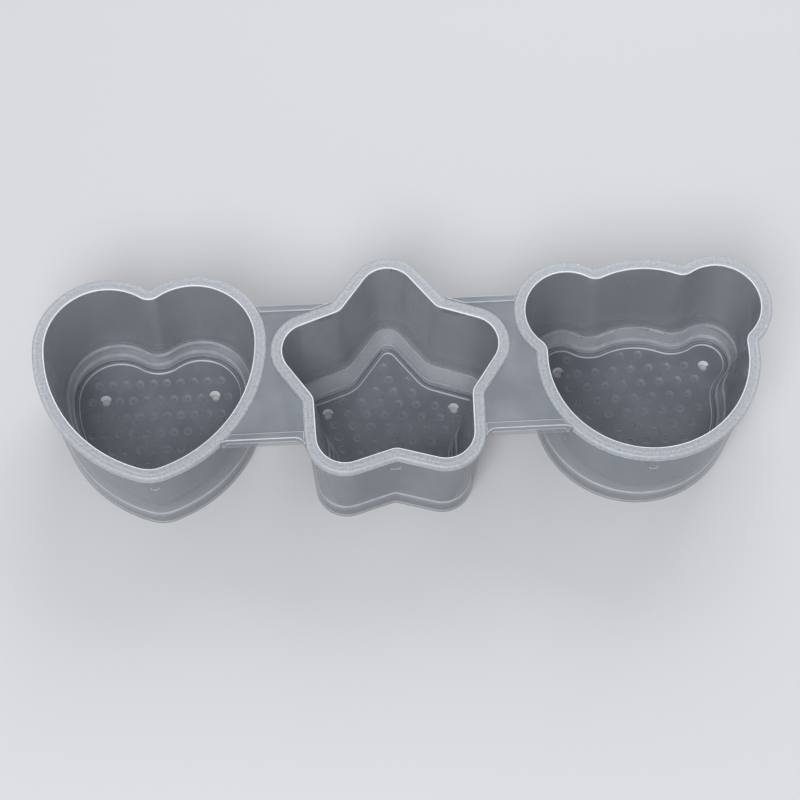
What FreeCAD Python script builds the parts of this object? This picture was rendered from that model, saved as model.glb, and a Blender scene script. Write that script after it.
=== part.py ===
import FreeCAD, Part
import math
import os

from FreeCAD import Vector

# Rice mould press in three shapes, heart, star and bear face, in clear polypropylene.
# Two thin mouldings nest: an open-bottomed mould frame stands on the table, and a press
# tray with stepped, dimpled floors hangs in it by its rim and lifts straight out.
# Millimetres, +Z up, base plane at z = 0, origin under the middle of the outline.

# Driving dimensions
HEIGHT = 38.0            # table to the top of the press rim
PITCH_HEART = -61.4      # heart centre from the star centre, along the row
PITCH_BEAR = 65.7        # bear centre from the star centre
SIDE_SHIFT = -2.0        # heart and bear centres across the row
MID_X, MID_Y = 3.95, 2.05  # middle of the whole outline, from the star centre

RIM = 3.0                # rim width
RIM_T = 1.0              # rim thickness
RIM_EDGE = 0.7           # rounding of the rim's outer top edge
LIP_DROP = 2.1           # turned-down lip, from the rim top
LIP_T = 0.7              # lip thickness
NOTCH_R = 4.0            # hollow corners of the plan shapes
PRESS_WALL = 0.95        # wall of the press cups
FLOOR_DEPTH = 36.2       # rim top to the floor
FLOOR_T = 1.3            # floor thickness
BORDER_W, BORDER_H = 0.65, 0.6  # raised border round the floor

FRAME_WALL = 0.9         # wall of the mould frame
FRAME_TOP_OUT = 2.1      # outer face of the frame wall at its top, out from the rim's inner edge
FRAME_BASE_OUT = 1.0     # and at its base
FOOT_DROP, FOOT_THIN = 31.6, 0.25  # below this depth the frame wall is thinner by so much

BRIDGE_REAR = 19.55      # rear edge of the bridges
BRIDGE_FRONT = -17.45    # front edge
BRIDGE_SINK = 0.6        # plate face below the rim top
BRIDGE_T = 1.2
BEAD = 1.8               # raised edge of the bridge plates
CORNER_R = 3.0           # plan fillets where a bridge's front edge meets the rims
CHANNEL_TOP = 2.6        # top of the frame's channel, below the rim top
CHANNEL_T = 1.0
RIB_DROP = 7.2           # bottom of the channel's ribs, below the rim top
RIB_T = 1.2
RIB_INSET = 0.9          # ribs stand this far in from the bridge edges

VENT_TOP, VENT_BASE = 1.45, 1.0    # radii of the tapered air vents
DIMPLE_R, DIMPLE_DEEP = 1.0, 0.35  # shallow dimples in the floors
NUB_R, NUB_OUT, NUB_DROP = 1.0, 0.45, 12.0  # stand-off nubs inside the frame walls

# Heart: lobe, side and tip arcs
LOBE = (11.05, 12.3, 15.8)
HEART_TIP_Y, HEART_TIP_R = -13.5, 8.45
HEART_SIDE_R = 35.4
# Star: tip and notch circles on two rings
STAR_TIP_RING, STAR_TIP_R = 21.4, 7.3
STAR_NOTCH_RING = 25.35
# Bear face: head, crown and ears
HEAD = (0.0, 3.1, 25.7)
CROWN = (0.0, 2.5, 24.8)
EAR = (19.4, 16.2, 11.1)


def meet(c1, r1, c2, r2, key):
    """Centre that lies r1 from c1 and r2 from c2, the one with the larger key."""
    dx, dy = c2[0] - c1[0], c2[1] - c1[1]
    d = math.hypot(dx, dy)
    a = (r1 * r1 - r2 * r2 + d * d) / (2 * d)
    h = math.sqrt(r1 * r1 - a * a)
    mid = (c1[0] + dx * a / d, c1[1] + dy * a / d)
    both = [(mid[0] - s * dy * h / d, mid[1] + s * dx * h / d) for s in (1, -1)]
    return max(both, key=key)


def mirrored(half, middle_first, middle_last):
    """A left-right symmetric ring of arcs: (x, y, signed radius), anticlockwise."""
    left = [(-x, y, r) for x, y, r in reversed(half)]
    return [middle_first] + half + [middle_last] + left


def heart_arcs():
    x, y, r = LOBE
    tip = (0.0, HEART_TIP_Y)
    side = meet((x, y), HEART_SIDE_R - r, tip, HEART_SIDE_R - HEART_TIP_R, lambda p: -p[0])
    notch_y = y + math.sqrt((r + NOTCH_R) ** 2 - x * x)
    half = [(side[0], side[1], HEART_SIDE_R), (x, y, r)]
    return mirrored(half, (0.0, HEART_TIP_Y, HEART_TIP_R), (0.0, notch_y, -NOTCH_R))


def star_arcs():
    arcs = []
    for k in range(5):
        tip = math.radians(90 + 72 * k)
        notch = tip + math.radians(36)
        arcs.append((STAR_TIP_RING * math.cos(tip), STAR_TIP_RING * math.sin(tip), STAR_TIP_R))
        arcs.append((STAR_NOTCH_RING * math.cos(notch), STAR_NOTCH_RING * math.sin(notch), -NOTCH_R))
    return arcs


def bear_arcs():
    ear = (EAR[0], EAR[1])
    cheek = meet(HEAD[:2], HEAD[2] + NOTCH_R, ear, EAR[2] + NOTCH_R, lambda p: p[0])
    brow = meet(CROWN[:2], CROWN[2] + NOTCH_R, ear, EAR[2] + NOTCH_R, lambda p: p[1])
    half = [(cheek[0], cheek[1], -NOTCH_R), EAR, (brow[0], brow[1], -NOTCH_R)]
    return mirrored(half, HEAD, CROWN)


def outline(arcs, grow, z, shift=(0.0, 0.0)):
    """Closed wire of tangent arcs and lines, offset outward by grow and moved by shift."""
    normals = []
    for (x1, y1, r1), (x2, y2, r2) in zip(arcs, arcs[1:] + arcs[:1]):
        dx, dy = x2 - x1, y2 - y1
        d2 = dx * dx + dy * dy
        a = (r1 - r2) / d2
        b = -math.sqrt(max(d2 - (r1 - r2) ** 2, 0.0)) / d2
        normals.append(math.atan2(a * dy + b * dx, a * dx - b * dy))
    runs = []
    for i, (x, y, r) in enumerate(arcs):
        x, y, r = x + shift[0], y + shift[1], r + grow
        a0, a1 = normals[i - 1], normals[i]
        turn = (a1 - a0) % (2 * math.pi) if r > 0 else -((a0 - a1) % (2 * math.pi))
        runs.append([Vector(x + r * math.cos(a0 + turn * t), y + r * math.sin(a0 + turn * t), z)
                     for t in (0, 0.5, 1)])
    edges = []
    for here, after in zip(runs, runs[1:] + runs[:1]):
        touching = here[2].distanceToPoint(after[0]) < 0.01
        if touching:
            here[2] = after[0]
        edges.append(Part.Arc(*here).toShape())
        if not touching:
            edges.append(Part.LineSegment(here[2], after[0]).toShape())
    return Part.Wire(edges)


def loft(arcs, profile):
    """Solid through offset outlines; profile lists growth, depth below the rim top, shift."""
    wires = [outline(arcs, row[0], HEIGHT - row[1], row[2:] or (0.0, 0.0)) for row in profile]
    return Part.makeLoft(wires, True, True)


def slab(x0, x1, y0, y1, top, bottom):
    """Box between two depths below the rim top."""
    return Part.makeBox(x1 - x0, y1 - y0, bottom - top, Vector(x0, y0, HEIGHT - bottom))


# Each cup's two ledges and floor edge: growth, depth below the rim top, and the shift of
# that outline along and across the row, because the wells don't sit quite under the rims
STEPS = {
    "heart": ((-2.45, 29.6, -0.3, 0.0), (-3.7, 32.8, -0.6, 0.0), (-5.0, FLOOR_DEPTH, -0.7, -0.1)),
    "star": ((-3.2, 30.2, 0.0, -0.6), (-4.4, 33.3, 0.0, -2.0), (-5.3, FLOOR_DEPTH, 0.2, -2.8)),
    "bear": ((-2.7, 30.0, 1.2, -0.6), (-4.0, 33.6, 1.2, -0.9), (-5.6, FLOOR_DEPTH, 1.4, -0.9)),
}


def cup_inside(steps):
    """Inner face of a cup: drafted wall, two rounded ledges, down to the floor's border."""
    (g1, d1, *s1), (g2, d2, *s2), (g3, d3, *s3) = steps
    return [(0.0, 0.0), (g1 + 0.2, d1 - 0.25, *s1), (g1 - 0.15, d1 + 0.15, *s1),
            (g2 + 0.2, d2 - 0.25, *s2), (g2 - 0.2, d2 + 0.15, *s2),
            (g3 + BORDER_W, d3 - BORDER_H, *s3)]


def cup_outside(inside):
    """Outer face of the same wall, one wall thickness out and down."""
    drops = (RIM_T, 0.6, 0.7, 0.7, 0.8, BORDER_H)
    return [(row[0] + PRESS_WALL, row[1] + drop) + tuple(row[2:])
            for row, drop in zip(inside, drops)]


def press_wall(arcs, steps):
    """Rim, lip and stepped wall of one press cup, down to the floor."""
    rim = loft(arcs, [(RIM, 0.0), (RIM, LIP_DROP)])
    top = [e for e in rim.Edges if e.BoundBox.ZMin > HEIGHT - 0.01]
    rim = rim.makeFillet(RIM_EDGE, top)
    rim = rim.cut(loft(arcs, [(RIM - LIP_T, RIM_T), (RIM - LIP_T, LIP_DROP + 1)]))
    inside = cup_inside(steps)
    last = (inside[-1][0], FLOOR_DEPTH + 1.0) + tuple(inside[-1][2:])
    body = rim.fuse(loft(arcs, cup_outside(inside)))
    return body.cut(loft(arcs, [(0.0, -1.0)] + inside + [last]))


def press_floor(arcs, steps, vents, dimples):
    """Sunk floor with a raised border, tapered air vents and rows of dimples."""
    edge, depth, *shift = steps[2]
    inner, outer = edge + BORDER_W, edge + BORDER_W + PRESS_WALL
    border = loft(arcs, [(inner, depth - BORDER_H, *shift), (inner, depth, *shift)])
    skirt = loft(arcs, [(outer, depth, *shift), (outer - 0.15, depth + 0.7, *shift),
                        (outer - 0.7, depth + FLOOR_T, *shift)])
    floor = border.fuse(skirt)
    floor = floor.cut(loft(arcs, [(edge, depth - 2.0, *shift), (edge, depth, *shift)]))
    top = HEIGHT - depth
    tools = [Part.makeCone(VENT_BASE, VENT_TOP, FLOOR_T + 0.02, Vector(x, y, top - FLOOR_T - 0.01))
             for x, y in vents]
    tools += [Part.makeCone(DIMPLE_R - 0.35, DIMPLE_R, DIMPLE_DEEP, Vector(x, y, top - DIMPLE_DEEP))
              for x, y in dimples]
    return floor.cut(tools)


def lattice(arcs, steps, origin, along, across, stagger, vents):
    """Grid points that keep clear of the floor's edge and of the vents."""
    room = Part.Face(outline(arcs, steps[2][0] - DIMPLE_R - 0.5, 0.0, steps[2][2:]))
    points = []
    for row in range(-8, 9):
        for col in range(-8, 9):
            shift = 0.5 * (row % 2) if stagger else 0.0
            x = origin[0] + (col + shift) * along[0] + row * across[0]
            y = origin[1] + (col + shift) * along[1] + row * across[1]
            if not room.isInside(Vector(x, y, 0), 0.01, True):
                continue
            if min(math.hypot(x - vx, y - vy) for vx, vy in vents) > VENT_TOP + DIMPLE_R + 0.4:
                points.append((x, y))
    return points


def frame_wall(arcs, nubs):
    """Open-bottomed drafted ring with a thinner foot and two stand-off nubs inside."""
    top, base = RIM_T, HEIGHT
    ring = loft(arcs, [(FRAME_TOP_OUT, top), (FRAME_BASE_OUT, base)])
    slope = (FRAME_TOP_OUT - FRAME_BASE_OUT) / (base - top)
    inner_top = FRAME_TOP_OUT - FRAME_WALL
    foot_top = inner_top - slope * (FOOT_DROP - top)
    inner_base = FRAME_BASE_OUT - FRAME_WALL + FOOT_THIN
    ring = ring.cut(loft(arcs, [(inner_top + slope, top - 1), (foot_top, FOOT_DROP),
                                (foot_top + FOOT_THIN, FOOT_DROP + 0.3),
                                (inner_base - slope, base + 1)]))
    face = inner_top - slope * (NUB_DROP - top)
    for y, side in nubs:
        wall_y = y + side * face
        ball_r = (NUB_R ** 2 + NUB_OUT ** 2) / (2 * NUB_OUT)
        ball = Part.makeSphere(ball_r, Vector(0, wall_y + side * (ball_r - NUB_OUT), HEIGHT - NUB_DROP))
        keep = Part.makeBox(3, 1.0, 3, Vector(-1.5, wall_y - 0.6 if side > 0 else wall_y - 0.4,
                                             HEIGHT - NUB_DROP - 1.5))
        ring = ring.fuse(ball.common(keep))
    return ring


SHAPES = {
    "heart": (heart_arcs(), PITCH_HEART, SIDE_SHIFT),
    "star": (star_arcs(), 0.0, 0.0),
    "bear": (bear_arcs(), PITCH_BEAR, SIDE_SHIFT),
}
VENTS = {
    "heart": [(-15.45, 12.3), (14.05, 12.3)],
    "star": [(-16.85, 3.4), (17.2, 3.4)],
    "bear": [(-19.2, 14.5), (20.8, 14.5)],
}
# lattice origin, step along a row, step to the next row, rows staggered or not
GRIDS = {
    "heart": ((1.13, 7.2), (3.67, 0.0), (0.0, -4.85), True),
    "star": ((-2.62, 6.06), (4.95, -0.48), (1.13, -3.64), False),
    "bear": ((0.8, 6.1), (4.93, 0.17), (0.0, -4.24), True),
}


def crossings(arcs):
    """Where the outline crosses the shape's own middle line, rear and front."""
    line = Part.LineSegment(Vector(0, -80, 0), Vector(0, 80, 0)).toShape()
    ys = [v.Y for v in Part.Face(outline(arcs, 0.0, 0.0)).common(line).Vertexes]
    return [(max(ys), 1), (min(ys), -1)]


def placed(shape, dx, dy):
    shape = shape.copy()
    shape.translate(Vector(dx - MID_X, dy - MID_Y, 0))
    return shape.removeSplitter()


pieces = {}
blanks = {}
for name, (arcs, dx, dy) in SHAPES.items():
    vents = VENTS[name]
    origin, along, across, stagger = GRIDS[name]
    dimples = lattice(arcs, STEPS[name], origin, along, across, stagger, vents)
    print(name, "dimples", len(dimples))
    pieces["press_%s_wall" % name] = placed(press_wall(arcs, STEPS[name]), dx, dy)
    pieces["press_%s_floor" % name] = placed(press_floor(arcs, STEPS[name], vents, dimples), dx, dy)
    pieces["frame_%s_wall" % name] = placed(frame_wall(arcs, crossings(arcs)), dx, dy)
    blanks[name] = (
        placed(loft(arcs, [(RIM, -2.0), (RIM, 12.0)]), dx, dy),
        placed(loft(arcs, [(FRAME_TOP_OUT, RIM_T), (FRAME_BASE_OUT, HEIGHT)]), dx, dy),
    )


def between(left, right, kind):
    """Blank outlines of the two cups that a bridge joins."""
    return blanks[left][kind].fuse(blanks[right][kind])


def bridge_plate(left, right):
    """Plate with a raised, turned-down edge at front and rear and filleted corners."""
    x0 = SHAPES[left][1] - MID_X
    x1 = SHAPES[right][1] - MID_X
    y0, y1 = BRIDGE_FRONT - MID_Y, BRIDGE_REAR - MID_Y
    rims = between(left, right, 0)
    slabs = slab(x0, x1, y0, y1, 0.0, LIP_DROP).fuse(rims.common(slab(-120, 120, -60, 60, 0.0, LIP_DROP)))
    slabs = slabs.removeSplitter()
    corners = [e for e in slabs.Edges
               if e.BoundBox.ZLength > 1.0 and abs(e.BoundBox.YMin - y0) < 0.01
               and e.BoundBox.YLength < 0.01 and x0 < e.BoundBox.XMin < x1
               and e.BoundBox.XLength < 0.01]
    body = slabs.makeFillet(CORNER_R, corners)
    body = body.common(slab(x0, x1, y0 - 12, y1 + 12, 0.0, LIP_DROP))
    well = slab(x0, x1, y0 + BEAD, y1 - BEAD, -1.0, BRIDGE_SINK)
    under = slab(x0, x1, y0 + LIP_T, y1 - LIP_T, BRIDGE_SINK + BRIDGE_T, LIP_DROP + 1)
    body = body.cut([well, under, rims])
    return max(body.Solids, key=lambda s: s.Volume)


def bridge_channel(left, right):
    """Inverted channel of the mould frame, under the bridge plate."""
    x0 = SHAPES[left][1] - MID_X
    x1 = SHAPES[right][1] - MID_X
    y0 = BRIDGE_FRONT + RIB_INSET - MID_Y
    y1 = BRIDGE_REAR - RIB_INSET - MID_Y
    body = slab(x0, x1, y0, y1, CHANNEL_TOP, RIB_DROP)
    body = body.cut(slab(x0, x1, y0 + RIB_T, y1 - RIB_T, CHANNEL_TOP + CHANNEL_T, RIB_DROP + 1))
    body = body.cut(between(left, right, 1))
    return max(body.Solids, key=lambda s: s.Volume)


for side, left, right in (("left", "heart", "star"), ("right", "star", "bear")):
    pieces["press_bridge_" + side] = bridge_plate(left, right)
    pieces["frame_bridge_" + side] = bridge_channel(left, right)

os.makedirs("parts", exist_ok=True)
for name, shape in pieces.items():
    solids = shape.Solids
    print(name, "solids", len(solids), "valid", shape.isValid(), "volume", round(shape.Volume, 1),
          "faces", len(shape.Faces))
    solids[0].exportStep("parts/%s.step" % name)
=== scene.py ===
import math

import bpy
from mathutils import Matrix, Vector


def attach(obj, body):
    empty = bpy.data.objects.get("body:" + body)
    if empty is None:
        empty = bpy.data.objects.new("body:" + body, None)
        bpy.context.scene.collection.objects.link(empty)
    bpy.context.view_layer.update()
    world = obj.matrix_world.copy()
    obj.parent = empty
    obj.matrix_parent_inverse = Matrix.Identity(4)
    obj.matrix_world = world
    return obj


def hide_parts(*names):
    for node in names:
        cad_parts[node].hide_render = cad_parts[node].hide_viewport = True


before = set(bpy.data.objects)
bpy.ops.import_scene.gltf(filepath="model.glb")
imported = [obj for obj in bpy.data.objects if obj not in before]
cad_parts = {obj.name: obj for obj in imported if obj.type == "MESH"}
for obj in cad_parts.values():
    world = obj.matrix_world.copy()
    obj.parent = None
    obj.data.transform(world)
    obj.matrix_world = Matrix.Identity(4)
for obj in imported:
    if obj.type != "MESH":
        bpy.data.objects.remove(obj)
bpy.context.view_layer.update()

# Mould frame: three open-bottomed rings and two channels between them, one thin moulding
# of natural polypropylene. It stands on the table and carries the press tray by the rims.


def paint_light_by_height(nodes, links, place, tint, painted_light_bands):
    """Paint light and shade by height: brighten or darken a tint in steps; a band is a height in
    metres and its factor.
    """
    full_height = 0.04
    split = nodes.new("ShaderNodeSeparateXYZ")
    links.new(place.outputs["Object"], split.inputs["Vector"])
    level = nodes.new("ShaderNodeMapRange")
    level.inputs["From Max"].default_value = full_height
    links.new(split.outputs["Z"], level.inputs["Value"])
    ramp = nodes.new("ShaderNodeValToRGB")
    for stop in painted_light_bands[2:]:
        ramp.color_ramp.elements.new(stop[0] / full_height)
    for mark, (height, factor) in zip(ramp.color_ramp.elements, painted_light_bands):
        mark.position = height / full_height
        mark.color = (factor, factor, factor, 1.0)
    links.new(level.outputs["Result"], ramp.inputs["Fac"])
    blend = nodes.new("ShaderNodeVectorMath")
    blend.operation = "MULTIPLY"
    links.new(tint, blend.inputs[0])
    links.new(ramp.outputs["Color"], blend.inputs[1])
    return blend.outputs["Vector"]


def milky(name, dark, light, thin, thick, gloss, grain, streak=1.0, painted_light_bands=None):
    """Natural polypropylene: cloudy tone, and denser where it is seen edge on; when height steps
    are given, light and shade are painted in by height.
    """
    finish = bpy.data.materials.new(name)
    finish.use_nodes = True
    nodes, links = finish.node_tree.nodes, finish.node_tree.links
    skin = nodes["Principled BSDF"]
    skin.inputs["IOR"].default_value = 1.49
    place = nodes.new("ShaderNodeTexCoord")
    stretch = nodes.new("ShaderNodeMapping")
    stretch.inputs["Scale"].default_value = (1.0, 1.0, streak)
    links.new(place.outputs["Object"], stretch.inputs["Vector"])
    cloud = nodes.new("ShaderNodeTexNoise")
    cloud.inputs["Scale"].default_value = grain
    cloud.inputs["Detail"].default_value = 4.0
    links.new(stretch.outputs["Vector"], cloud.inputs["Vector"])
    tone = nodes.new("ShaderNodeValToRGB")
    tone.color_ramp.elements[0].position = 0.3
    tone.color_ramp.elements[0].color = dark + (1.0,)
    tone.color_ramp.elements[1].position = 0.72
    tone.color_ramp.elements[1].color = light + (1.0,)
    links.new(cloud.outputs["Fac"], tone.inputs["Fac"])
    tint = tone.outputs["Color"]
    # Painted light and shade: the tint is made lighter or darker step by step with height.
    if painted_light_bands:
        tint = paint_light_by_height(nodes, links, place, tint, painted_light_bands)
    links.new(tint, skin.inputs["Base Color"])
    mist = nodes.new("ShaderNodeMapRange")
    mist.inputs["To Min"].default_value = gloss[0]
    mist.inputs["To Max"].default_value = gloss[1]
    links.new(cloud.outputs["Fac"], mist.inputs["Value"])
    links.new(mist.outputs["Result"], skin.inputs["Roughness"])
    edge = nodes.new("ShaderNodeLayerWeight")
    edge.inputs["Blend"].default_value = 0.4
    veil = nodes.new("ShaderNodeMapRange")
    veil.inputs["To Min"].default_value = thin
    veil.inputs["To Max"].default_value = thick
    links.new(edge.outputs["Facing"], veil.inputs["Value"])
    links.new(veil.outputs["Result"], skin.inputs["Alpha"])
    return finish


def moulded(node, body, finish, painted_highlight, radius, smooth=20):
    """Copy of one moulded piece with its sharp edges rounded; the rounds get a painted highlight
    colour.
    """
    weld, sliver, flat = 0.00002, 0.00003, 0.8
    fillet_low, fillet_high = 0.0372, 0.0379
    rim_zone, rim_turn, wall_turn = 0.035, 26, 20
    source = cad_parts[node]
    piece = bpy.data.objects.new("shell_" + node, source.data.copy())
    bpy.context.scene.collection.objects.link(piece)
    bpy.ops.object.select_all(action="DESELECT")
    piece.select_set(True)
    bpy.context.view_layer.objects.active = piece
    piece.data.materials.clear()
    piece.data.materials.append(finish)
    piece.data.materials.append(painted_highlight)
    bpy.ops.object.mode_set(mode="EDIT")
    bpy.ops.mesh.select_all(action="SELECT")
    bpy.ops.mesh.remove_doubles(threshold=weld)
    bpy.ops.mesh.dissolve_degenerate(threshold=sliver)
    bpy.ops.mesh.dissolve_limited(angle_limit=math.radians(flat))
    bpy.ops.object.mode_set(mode="OBJECT")
    for face in piece.data.polygons:
        face.material_index = 0
    sharp = piece.data.attributes.new("bevel_weight_edge", "FLOAT", "EDGE")
    across = {}
    for face in piece.data.polygons:
        for key in face.edge_keys:
            across.setdefault(key, []).append(face.normal)
    for edge in piece.data.edges:
        pair = across.get(tuple(sorted(edge.vertices)), [])
        heights = [piece.data.vertices[v].co.z for v in edge.vertices]
        on_fillet = max(heights) > fillet_low and min(heights) < fillet_high
        turn = math.radians(rim_turn if max(heights) > rim_zone else wall_turn)
        if len(pair) == 2 and pair[0].angle(pair[1], 0.0) > turn and not on_fillet:
            sharp.data[edge.index].value = 1.0
    soften = piece.modifiers.new("rounded_edges", "BEVEL")
    soften.width = radius
    soften.segments = 2
    soften.limit_method = "WEIGHT"
    # The rounded edges take the second colour, a painted highlight.
    soften.material = 1
    soften.use_clamp_overlap = False
    bpy.ops.object.modifier_apply(modifier=soften.name)
    bpy.ops.object.shade_smooth_by_angle(angle=math.radians(smooth))
    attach(piece, body)
    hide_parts(node)
    return piece


# Frame plastic with painted light and shade by height: darker along the foot, with a painted
# highlight stripe just above it.
frame_skin = milky(
    "frame_skin", dark=(0.24, 0.265, 0.30), light=(0.34, 0.37, 0.41), thin=0.2, thick=0.58,
    gloss=(0.14, 0.26), grain=60.0, streak=0.35,
    painted_light_bands=((0.0, 0.75), (0.0060, 0.8), (0.0066, 1.45), (0.0105, 1.0), (0.038, 1.0)))
# Lighter plastic for the frame's rounded edges: a painted highlight.
frame_painted_highlight = milky(
    "frame_painted_highlight", dark=(0.66, 0.69, 0.74), light=(0.80, 0.83, 0.87), thin=0.75, thick=0.95,
    gloss=(0.2, 0.34), grain=400.0)
ring_round, channel_round = 0.00022, 0.00018
for node in ("frame_heart_wall", "frame_star_wall", "frame_bear_wall"):
    moulded(node, "mold_frame", frame_skin, frame_painted_highlight, ring_round)
for node in ("frame_bridge_left", "frame_bridge_right"):
    moulded(node, "mold_frame", frame_skin, frame_painted_highlight, channel_round)

# Press cups: rim with a turned-down lip, drafted wall and two small sloped ledges, moulded
# with the rest of the press tray. The rim is finely frosted and whiter than the glossy walls.
# Cup walls with painted light by height: lighter towards the lower end, a little darker up by the
# rim.
cup_skin = milky(
    "cup_skin", dark=(0.17, 0.19, 0.225), light=(0.27, 0.295, 0.335), thin=0.26, thick=0.66,
    gloss=(0.1, 0.24), grain=70.0, streak=0.3,
    painted_light_bands=((0.0, 1.5), (0.0052, 1.5), (0.0086, 1.3), (0.0092, 1.0), (0.036, 0.9)))
# Near-white plastic for the cups' rounded edges, the floors' border and the vents' far halves: a
# painted highlight.
cup_painted_highlight = milky(
    "cup_painted_highlight", dark=(0.80, 0.83, 0.87), light=(0.92, 0.94, 0.96), thin=0.85, thick=1.0,
    gloss=(0.16, 0.3), grain=400.0)
# Frosted rim, whiter for its frost; its steps by height are painted light: a painted highlight
# line along the lip's lower edge and a little painted shade just above it.
rim_frost = milky(
    "rim_frost", dark=(0.34, 0.36, 0.40), light=(0.51, 0.54, 0.59), thin=0.6, thick=0.88,
    gloss=(0.3, 0.5), grain=1500.0,
    painted_light_bands=((0.0, 1.75), (0.0363, 1.75), (0.0365, 0.8), (0.0372, 0.85), (0.0378, 1.05)))
# Lighter plastic for the ledges' rounded edges: a painted highlight.
ledge_painted_highlight = milky(
    "ledge_painted_highlight", dark=(0.34, 0.36, 0.40), light=(0.50, 0.53, 0.57), thin=0.7, thick=0.95,
    gloss=(0.16, 0.3), grain=300.0)
cup_round = 0.00025
lip_bottom, ledge_top = 0.0357, 0.012
draft_low, draft_high = 0.015, 0.3
for cup in ("heart", "star", "bear"):
    shell = moulded("press_%s_wall" % cup, "press_tray", cup_skin, cup_painted_highlight, cup_round)
    shell.data.materials.append(rim_frost)
    shell.data.materials.append(ledge_painted_highlight)
    corners = [Vector(c) for c in shell.bound_box]
    middle = sum(corners, Vector()) / 8
    for face in shell.data.polygons:
        lowest = min(shell.data.vertices[v].co.z for v in face.vertices)
        to_middle = Vector((middle.x - face.center.x, middle.y - face.center.y, 0))
        inner_wall = to_middle.dot(face.normal) > 0 and draft_low < face.normal.z < draft_high
        if face.material_index == 0 and lowest > lip_bottom and not inner_wall:
            face.material_index = 2
        elif face.material_index == 1 and face.center.z < ledge_top:
            face.material_index = 3

# Floors: thin plates moulded into the cups' lower ends, with a raised border, dimples against
# sticking and two air vents each. The border, each vent's far half and the rounded edges get a
# lighter colour: a painted highlight.
floor_skin = milky(
    "floor_skin", dark=(0.17, 0.185, 0.22), light=(0.225, 0.245, 0.285), thin=0.78, thick=0.92,
    gloss=(0.2, 0.34), grain=90.0)
# Lighter plastic for the floors' rounded edges: a painted highlight.
floor_painted_highlight = milky(
    "floor_painted_highlight", dark=(0.24, 0.26, 0.30), light=(0.36, 0.385, 0.43), thin=0.8, thick=0.95,
    gloss=(0.16, 0.3), grain=300.0)
air_vents = ((-0.0808, 0.00825), (-0.0513, 0.00825), (-0.0208, 0.00135), (0.01325, 0.00135),
             (0.04255, 0.01045), (0.08255, 0.01045))
vent_reach, vent_face = 0.00165, 1e-6
border_low, border_high = 0.00185, 0.00245
facing_up, facing_front = 0.9, -0.15
floor_round, floor_smooth = 0.00012, 12
for cup in ("heart", "star", "bear"):
    plate = moulded("press_%s_floor" % cup, "press_tray", floor_skin, floor_painted_highlight,
                    floor_round, floor_smooth)
    plate.data.materials.append(cup_painted_highlight)
    for face in plate.data.polygons:
        spot = face.center
        vent = min(math.hypot(spot.x - x, spot.y - y) for x, y in air_vents)
        # Painted highlight: the raised border and the half of each vent wall turned to the front
        # lamp get the near-white cup colour.
        border_highlight = border_low < spot.z < border_high and face.normal.z < facing_up
        vent_highlight = vent < vent_reach and face.area < vent_face and face.normal.y < facing_front
        if border_highlight or vent_highlight:
            face.material_index = 2

# Bridges of the press tray: flat plates between the cups with a raised bead front and rear,
# moulded with the cups. They lie over the frame's channels and are denser than the walls.
bridge_skin = milky(
    "bridge_skin", dark=(0.20, 0.22, 0.255), light=(0.30, 0.325, 0.365), thin=0.6, thick=0.85,
    gloss=(0.12, 0.3), grain=80.0)
# Lighter plastic for the bridges' rounded edges and beads: a painted highlight.
bridge_painted_highlight = milky(
    "bridge_painted_highlight", dark=(0.46, 0.49, 0.53), light=(0.60, 0.63, 0.67), thin=0.75, thick=0.95,
    gloss=(0.2, 0.3), grain=400.0)
bridge_round = 0.00022
for node in ("press_bridge_left", "press_bridge_right"):
    moulded(node, "press_tray", bridge_skin, bridge_painted_highlight, bridge_round)

# Table: a plain pale matt floor under the mould. It belongs to the picture and not to the
# object.
bpy.ops.object.select_all(action="DESELECT")
bpy.ops.mesh.primitive_plane_add(size=6.0, location=(0, 0, 0))
floor = bpy.context.object
floor.name = "table"
floor_paint = bpy.data.materials.new("pale_table")
floor_paint.use_nodes = True
paint = floor_paint.node_tree.nodes["Principled BSDF"]
paint.inputs["Base Color"].default_value = (0.55, 0.56, 0.58, 1)
paint.inputs["Roughness"].default_value = 0.8
floor.data.materials.append(floor_paint)

# Lamps: a soft box above and in front, a weaker and larger one behind, and an even white sky
# that fills the shadows.


def soft_box(name, place, aim, size, watts):
    """Square area lamp at a place, turned towards the point it lights."""
    lamp = bpy.data.lights.new(name, "AREA")
    lamp.shape = "SQUARE"
    lamp.size = size
    lamp.energy = watts
    holder = bpy.data.objects.new(name, lamp)
    bpy.context.scene.collection.objects.link(holder)
    holder.location = place
    holder.rotation_euler = (Vector(aim) - Vector(place)).to_track_quat("-Z", "Y").to_euler()


mould_middle = (0, 0, 0.02)
soft_box("front_box", place=(-0.15, -0.5, 0.75), aim=mould_middle, size=0.4, watts=6.0)
soft_box("rear_fill", place=(0.2, 0.6, 0.5), aim=mould_middle, size=0.6, watts=3.5)
sky = bpy.context.scene.world or bpy.data.worlds.new("studio")
bpy.context.scene.world = sky
sky.use_nodes = True
sky.node_tree.nodes["Background"].inputs["Color"].default_value = (1, 1, 1, 1)
sky.node_tree.nodes["Background"].inputs["Strength"].default_value = 0.45

# Camera: steep view from the front, the row of cups across the picture. Its place, angles and
# lens are those fitted to the outlines in the photo.
eye = bpy.data.cameras.new("view")
eye.lens = 89.6
eye.sensor_width = 36.0
holder = bpy.data.objects.new("view", eye)
bpy.context.scene.collection.objects.link(holder)
holder.location = (-0.01794, -0.20505, 0.50074)
azimuth, elevation, roll = math.radians(4.593), math.radians(67.141), math.radians(1.548)
ahead = Vector((math.sin(azimuth) * math.cos(elevation), math.cos(azimuth) * math.cos(elevation),
                -math.sin(elevation)))
right = ahead.cross(Vector((0, 0, 1))).normalized()
up = right.cross(ahead)
right, up = (math.cos(roll) * right + math.sin(roll) * up,
             math.cos(roll) * up - math.sin(roll) * right)
holder.rotation_euler = Matrix((right, up, -ahead)).transposed().to_euler()
bpy.context.scene.camera = holder
bpy.context.scene.view_settings.view_transform = "Standard"
